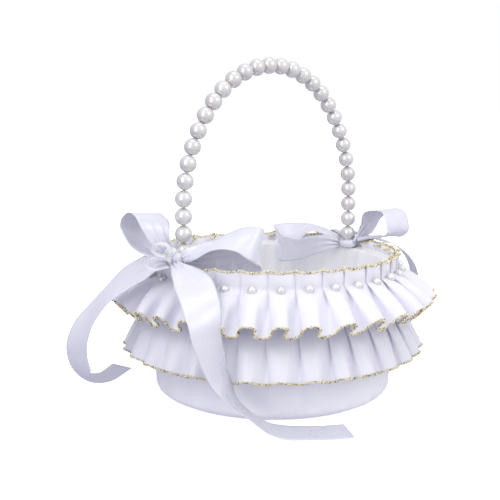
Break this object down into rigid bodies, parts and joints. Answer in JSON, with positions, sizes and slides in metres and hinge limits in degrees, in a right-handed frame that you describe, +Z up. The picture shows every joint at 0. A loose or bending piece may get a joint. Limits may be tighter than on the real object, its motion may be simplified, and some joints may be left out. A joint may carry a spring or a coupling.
{
  "type": "flower girl basket",
  "caption": "Round satin-covered flower girl basket with two gold-edged pleated ruffles, sewn pearls, an upright handle of strung pearls and ribbon bows at its feet.",
  "frame": {"origin": "centre of the underside, on the surface that the basket stands on", "axes": "+Z up out of the basket's mouth; the handle's arch stands in the XZ plane, with the bow that has the long laid-out tail at its -X foot; +Y is away from that tail"},
  "size_m": [0.2687, 0.2353, 0.2437],
  "materials": {
    "board": "matte",
    "cover_satin": "satin",
    "lining_satin": "satin",
    "ruffle_satin": "satin",
    "gold_thread": "metallic thread",
    "pearl": "pearlescent gloss",
    "steel_wire": "drawn",
    "cloth_tape": "matte",
    "satin_ribbon": "satin",
    "organza": "sheer"
  },
  "bodies": {
    "basket": {"floor_pad": "lining_satin", "handle_wire": "steel_wire", "left_bow_back_loop": "satin_ribbon", "left_bow_front_loop": "satin_ribbon", "left_bow_front_tail": "satin_ribbon", "left_bow_knot": "satin_ribbon", "left_bow_outer_tail": "satin_ribbon", "lining_wall": "lining_satin", "lower_ruffle": "ruffle_satin", "lower_ruffle_hem_trim": "gold_thread", "outer_cover": "cover_satin", "right_bow_back_loop": "satin_ribbon", "right_bow_back_tail": "satin_ribbon", "right_bow_front_loop": "satin_ribbon", "right_bow_knot": "satin_ribbon", "right_bow_outer_tail": "satin_ribbon", "ruffle_pearls": "pearl", "sheer_lower_loop": "organza", "sheer_upper_loop": "organza", "tub_base": "board", "tub_wall": "board", "underside_disc": "cover_satin", "upper_ruffle": "ruffle_satin", "upper_ruffle_hem_trim": "gold_thread", "upper_ruffle_top_trim": "gold_thread", "wire_tape_left": "cloth_tape", "wire_tape_right": "cloth_tape"},
    "pearl_01": {"handle_pearl_01": "pearl"},
    "pearl_02": {"handle_pearl_02": "pearl"},
    "pearl_03": {"handle_pearl_03": "pearl"},
    "pearl_04": {"handle_pearl_04": "pearl"},
    "pearl_05": {"handle_pearl_05": "pearl"},
    "pearl_06": {"handle_pearl_06": "pearl"},
    "pearl_07": {"handle_pearl_07": "pearl"},
    "pearl_08": {"handle_pearl_08": "pearl"},
    "pearl_09": {"handle_pearl_09": "pearl"},
    "pearl_10": {"handle_pearl_10": "pearl"},
    "pearl_11": {"handle_pearl_11": "pearl"},
    "pearl_12": {"handle_pearl_12": "pearl"},
    "pearl_13": {"handle_pearl_13": "pearl"},
    "pearl_14": {"handle_pearl_14": "pearl"},
    "pearl_15": {"handle_pearl_15": "pearl"},
    "pearl_16": {"handle_pearl_16": "pearl"},
    "pearl_17": {"handle_pearl_17": "pearl"},
    "pearl_18": {"handle_pearl_18": "pearl"},
    "pearl_19": {"handle_pearl_19": "pearl"},
    "pearl_20": {"handle_pearl_20": "pearl"},
    "pearl_21": {"handle_pearl_21": "pearl"},
    "pearl_22": {"handle_pearl_22": "pearl"},
    "pearl_23": {"handle_pearl_23": "pearl"},
    "pearl_24": {"handle_pearl_24": "pearl"},
    "pearl_25": {"handle_pearl_25": "pearl"},
    "pearl_26": {"handle_pearl_26": "pearl"},
    "pearl_27": {"handle_pearl_27": "pearl"},
    "pearl_28": {"handle_pearl_28": "pearl"},
    "pearl_29": {"handle_pearl_29": "pearl"},
    "pearl_30": {"handle_pearl_30": "pearl"}
  },
  "joints": [
    {"name": "pearl_01_spin", "type": "hinge", "parent": "basket", "child": "pearl_01", "pos_m": [-0.0835, 0, 0.11201], "axis": [0, 0, 1], "continuous": true},
    {"name": "pearl_02_spin", "type": "hinge", "parent": "basket", "child": "pearl_02", "pos_m": [-0.0835, 0, 0.12391], "axis": [0, 0, 1], "continuous": true},
    {"name": "pearl_03_spin", "type": "hinge", "parent": "basket", "child": "pearl_03", "pos_m": [-0.0835, 0, 0.13581], "axis": [0, 0, 1], "continuous": true},
    {"name": "pearl_04_spin", "type": "hinge", "parent": "basket", "child": "pearl_04", "pos_m": [-0.08323, 0, 0.1477], "axis": [0.07, 0, 0.9975], "continuous": true},
    {"name": "pearl_05_spin", "type": "hinge", "parent": "basket", "child": "pearl_05", "pos_m": [-0.08176, 0, 0.15951], "axis": [0.1773, 0, 0.9842], "continuous": true},
    {"name": "pearl_06_spin", "type": "hinge", "parent": "basket", "child": "pearl_06", "pos_m": [-0.07902, 0, 0.17108], "axis": [0.2825, 0, 0.9593], "continuous": true},
    {"name": "pearl_07_spin", "type": "hinge", "parent": "basket", "child": "pearl_07", "pos_m": [-0.07505, 0, 0.18229], "axis": [0.3845, 0, 0.9231], "continuous": true},
    {"name": "pearl_08_spin", "type": "hinge", "parent": "basket", "child": "pearl_08", "pos_m": [-0.06989, 0, 0.19301], "axis": [0.4819, 0, 0.8762], "continuous": true},
    {"name": "pearl_09_spin", "type": "hinge", "parent": "basket", "child": "pearl_09", "pos_m": [-0.0636, 0, 0.2031], "axis": [0.5737, 0, 0.8191], "continuous": true},
    {"name": "pearl_10_spin", "type": "hinge", "parent": "basket", "child": "pearl_10", "pos_m": [-0.05626, 0, 0.21246], "axis": [0.66, 0, 0.7512], "continuous": true},
    {"name": "pearl_11_spin", "type": "hinge", "parent": "basket", "child": "pearl_11", "pos_m": [-0.04773, 0, 0.22074], "axis": [0.7706, 0, 0.6373], "continuous": true},
    {"name": "pearl_12_spin", "type": "hinge", "parent": "basket", "child": "pearl_12", "pos_m": [-0.038, 0, 0.22757], "axis": [0.8617, 0, 0.5074], "continuous": true},
    {"name": "pearl_13_spin", "type": "hinge", "parent": "basket", "child": "pearl_13", "pos_m": [-0.02731, 0, 0.23277], "axis": [0.9312, 0, 0.3646], "continuous": true},
    {"name": "pearl_14_spin", "type": "hinge", "parent": "basket", "child": "pearl_14", "pos_m": [-0.01593, 0, 0.23621], "axis": [0.9771, 0, 0.2127], "continuous": true},
    {"name": "pearl_15_spin", "type": "hinge", "parent": "basket", "child": "pearl_15", "pos_m": [-0.00415, 0, 0.23781], "axis": [0.9985, 0, 0.0554], "continuous": true},
    {"name": "pearl_16_spin", "type": "hinge", "parent": "basket", "child": "pearl_16", "pos_m": [0.00774, 0, 0.23752], "axis": [0.9946, 0, -0.1033], "continuous": true},
    {"name": "pearl_17_spin", "type": "hinge", "parent": "basket", "child": "pearl_17", "pos_m": [0.01943, 0, 0.23536], "axis": [0.9658, 0, -0.2594], "continuous": true},
    {"name": "pearl_18_spin", "type": "hinge", "parent": "basket", "child": "pearl_18", "pos_m": [0.03062, 0, 0.23137], "axis": [0.9126, 0, -0.4089], "continuous": true},
    {"name": "pearl_19_spin", "type": "hinge", "parent": "basket", "child": "pearl_19", "pos_m": [0.04105, 0, 0.22567], "axis": [0.8363, 0, -0.5482], "continuous": true},
    {"name": "pearl_20_spin", "type": "hinge", "parent": "basket", "child": "pearl_20", "pos_m": [0.05045, 0, 0.21838], "axis": [0.7391, 0, -0.6736], "continuous": true},
    {"name": "pearl_21_spin", "type": "hinge", "parent": "basket", "child": "pearl_21", "pos_m": [0.05859, 0, 0.20972], "axis": [0.6338, 0, -0.7735], "continuous": true},
    {"name": "pearl_22_spin", "type": "hinge", "parent": "basket", "child": "pearl_22", "pos_m": [0.06562, 0, 0.20012], "axis": [0.5466, 0, -0.8374], "continuous": true},
    {"name": "pearl_23_spin", "type": "hinge", "parent": "basket", "child": "pearl_23", "pos_m": [0.07157, 0, 0.18982], "axis": [0.453, 0, -0.8915], "continuous": true},
    {"name": "pearl_24_spin", "type": "hinge", "parent": "basket", "child": "pearl_24", "pos_m": [0.07637, 0, 0.17894], "axis": [0.354, 0, -0.9352], "continuous": true},
    {"name": "pearl_25_spin", "type": "hinge", "parent": "basket", "child": "pearl_25", "pos_m": [0.07998, 0, 0.16761], "axis": [0.251, 0, -0.968], "continuous": true},
    {"name": "pearl_26_spin", "type": "hinge", "parent": "basket", "child": "pearl_26", "pos_m": [0.08234, 0, 0.15595], "axis": [0.145, 0, -0.9894], "continuous": true},
    {"name": "pearl_27_spin", "type": "hinge", "parent": "basket", "child": "pearl_27", "pos_m": [0.08342, 0, 0.14411], "axis": [0.0373, 0, -0.9993], "continuous": true},
    {"name": "pearl_28_spin", "type": "hinge", "parent": "basket", "child": "pearl_28", "pos_m": [0.0835, 0, 0.13221], "axis": [0, 0, -1], "continuous": true},
    {"name": "pearl_29_spin", "type": "hinge", "parent": "basket", "child": "pearl_29", "pos_m": [0.0835, 0, 0.12031], "axis": [0, 0, -1], "continuous": true},
    {"name": "pearl_30_spin", "type": "hinge", "parent": "basket", "child": "pearl_30", "pos_m": [0.0835, 0, 0.10841], "axis": [0, 0, -1], "continuous": true}
  ]
}
